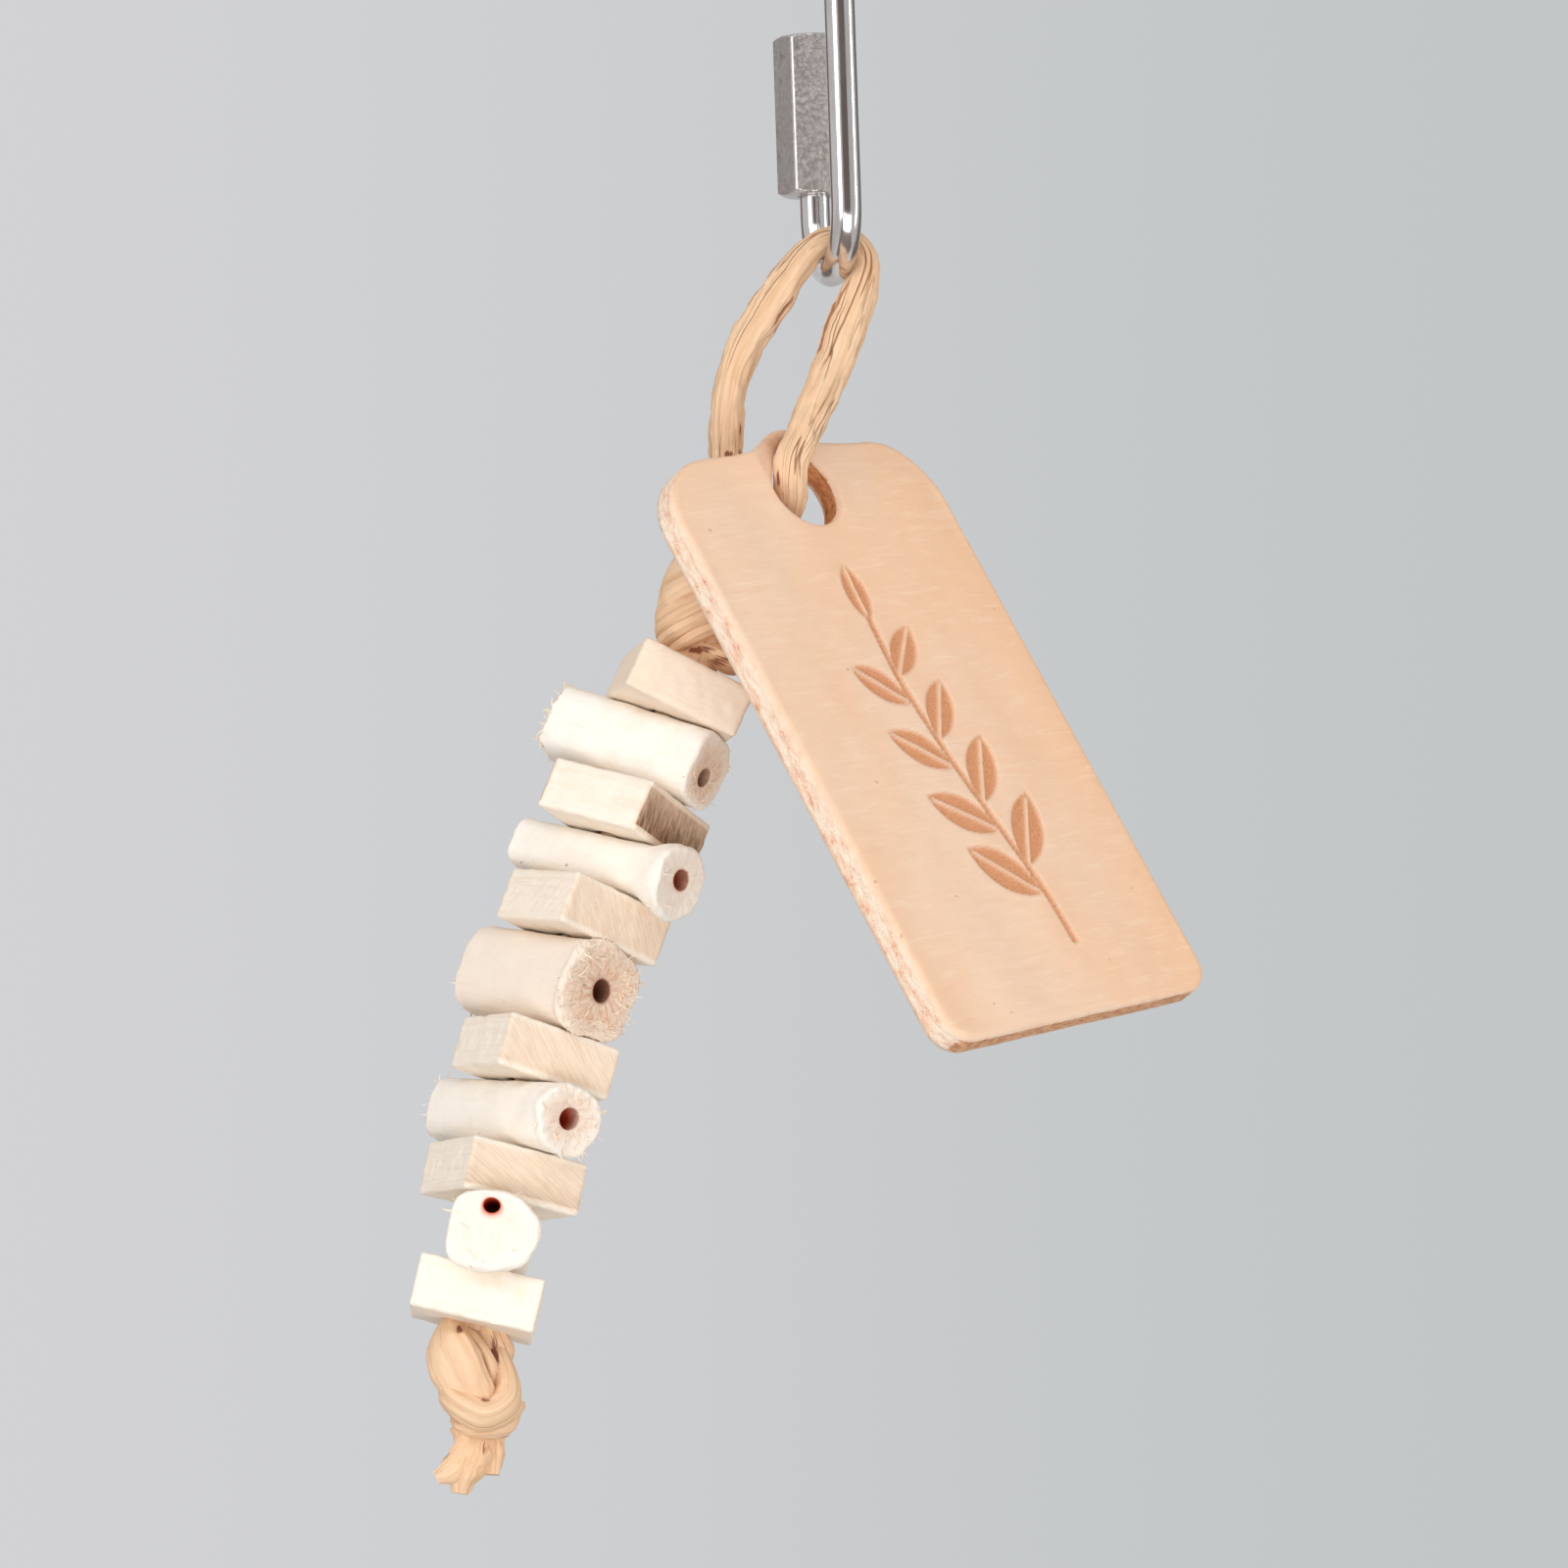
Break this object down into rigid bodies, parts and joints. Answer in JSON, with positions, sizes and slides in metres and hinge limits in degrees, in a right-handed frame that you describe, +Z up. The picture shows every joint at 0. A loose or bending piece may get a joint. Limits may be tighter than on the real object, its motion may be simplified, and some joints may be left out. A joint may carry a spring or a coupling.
{
  "type": "bird chew toy",
  "caption": "Hanging chew toy for a pet bird: a screw link, a loop of twisted paper cord with a leather tag, and wood blocks and sola sticks strung below it between two knots.",
  "frame": {"origin": "inside the top of the link's eye, where it hangs on its hook", "axes": "+Z up, +X to the right of the picture, +Y away from its viewer"},
  "size_m": [0.1, 0.0429, 0.2111],
  "materials": {
    "steel_rod": "polished",
    "steel_sleeve": "satin",
    "leather": "matte",
    "paper_cord": "matte",
    "wood": "matte",
    "sola": "matte"
  },
  "bodies": {
    "link": {"link_body": "steel_rod"},
    "sleeve": {"link_sleeve": "steel_sleeve"},
    "loop": {"cord_loop": "paper_cord", "top_knot": "paper_cord", "cord_core_1": "paper_cord"},
    "tag": {"leather_tag": "leather"},
    "string_2": {"cord_core_2": "paper_cord"},
    "string_3": {"cord_core_3": "paper_cord"},
    "string_4": {"cord_core_4": "paper_cord"},
    "string_5": {"cord_core_5": "paper_cord"},
    "string_6": {"cord_core_6": "paper_cord", "bottom_knot": "paper_cord"},
    "block_1": {"wood_block_1": "wood"},
    "stick_1": {"sola_stick_1": "sola"},
    "block_2": {"wood_block_2": "wood"},
    "stick_2": {"sola_stick_2": "sola"},
    "block_3": {"wood_block_3": "wood"},
    "stick_3": {"sola_stick_3": "sola"},
    "block_4": {"wood_block_4": "wood"},
    "stick_4": {"sola_stick_4": "sola"},
    "block_5": {"wood_block_5": "wood"},
    "stick_5": {"sola_stick_5": "sola"},
    "block_6": {"wood_block_6": "wood"}
  },
  "joints": [
    {"name": "sleeve_slide", "type": "slide", "parent": "link", "child": "sleeve", "axis": [-0.0339, -0.233, 0.9719], "range_m": [0, 0.01]},
    {"name": "loop_swing", "type": "hinge", "parent": "link", "child": "loop", "pos_m": [0.00211, 0.00995, -0.04879], "axis": [0.2286, -0.9735, 0], "range_deg": [-60, 60]},
    {"name": "tag_swing", "type": "hinge", "parent": "loop", "child": "tag", "pos_m": [-0.00189, 0.00445, -0.08019], "axis": [0.5826, -0.7286, 0.3601], "range_deg": [-40, 30]},
    {"name": "cord_flex_2", "type": "hinge", "parent": "loop", "child": "string_2", "pos_m": [-0.02343, 0.00995, -0.11834], "axis": [0, 1, 0], "range_deg": [-1.5, 6.5], "stiffness_Nm_per_rad": 0.1},
    {"name": "cord_flex_3", "type": "hinge", "parent": "string_2", "child": "string_3", "pos_m": [-0.02858, 0.00995, -0.13143], "axis": [0, 1, 0], "range_deg": [-1.5, 6.5], "stiffness_Nm_per_rad": 0.1},
    {"name": "cord_flex_4", "type": "hinge", "parent": "string_3", "child": "string_4", "pos_m": [-0.03479, 0.00995, -0.14945], "axis": [0, 1, 0], "range_deg": [0, 8], "stiffness_Nm_per_rad": 0.1},
    {"name": "cord_flex_5", "type": "hinge", "parent": "string_4", "child": "string_5", "pos_m": [-0.03884, 0.00995, -0.16458], "axis": [0, 1, 0], "range_deg": [0, 8], "stiffness_Nm_per_rad": 0.1},
    {"name": "cord_flex_6", "type": "hinge", "parent": "string_5", "child": "string_6", "pos_m": [-0.04175, 0.00995, -0.17957], "axis": [0, 1, 0], "range_deg": [-5.5, 2.5], "stiffness_Nm_per_rad": 0.1},
    {"name": "block_spin_1", "type": "hinge", "parent": "loop", "child": "block_1", "pos_m": [-0.01807, 0.00995, -0.10632], "axis": [0.4067, 0, 0.9135], "continuous": true},
    {"name": "stick_spin_1", "type": "hinge", "parent": "loop", "child": "stick_1", "pos_m": [-0.02139, 0.00995, -0.11377], "axis": [0.4067, 0, 0.9135], "continuous": true},
    {"name": "block_spin_2", "type": "hinge", "parent": "string_2", "child": "block_2", "pos_m": [-0.02486, 0.00995, -0.12198], "axis": [0.3665, 0, 0.9304], "continuous": true},
    {"name": "stick_spin_2", "type": "hinge", "parent": "string_2", "child": "stick_2", "pos_m": [-0.02729, 0.00995, -0.12816], "axis": [0.3665, 0, 0.9304], "continuous": true},
    {"name": "block_spin_3", "type": "hinge", "parent": "string_3", "child": "block_3", "pos_m": [-0.02985, 0.00995, -0.13512], "axis": [0.3256, 0, 0.9455], "continuous": true},
    {"name": "stick_spin_3", "type": "hinge", "parent": "string_3", "child": "stick_3", "pos_m": [-0.03283, 0.00995, -0.14377], "axis": [0.3256, 0, 0.9455], "continuous": true},
    {"name": "block_spin_4", "type": "hinge", "parent": "string_4", "child": "block_4", "pos_m": [-0.0358, 0.00995, -0.15323], "axis": [0.2588, 0, 0.9659], "continuous": true},
    {"name": "stick_spin_4", "type": "hinge", "parent": "string_4", "child": "stick_4", "pos_m": [-0.03773, 0.00995, -0.16042], "axis": [0.2588, 0, 0.9659], "continuous": true},
    {"name": "block_spin_5", "type": "hinge", "parent": "string_5", "child": "block_5", "pos_m": [-0.03959, 0.00995, -0.16842], "axis": [0.1908, 0, 0.9816], "continuous": true},
    {"name": "stick_spin_5", "type": "hinge", "parent": "string_5", "child": "stick_5", "pos_m": [-0.04097, 0.00995, -0.17554], "axis": [0.1908, 0, 0.9816], "continuous": true},
    {"name": "block_spin_6", "type": "hinge", "parent": "string_6", "child": "block_6", "pos_m": [-0.0426, 0.00995, -0.18338], "axis": [0.2164, 0, 0.9763], "continuous": true}
  ]
}
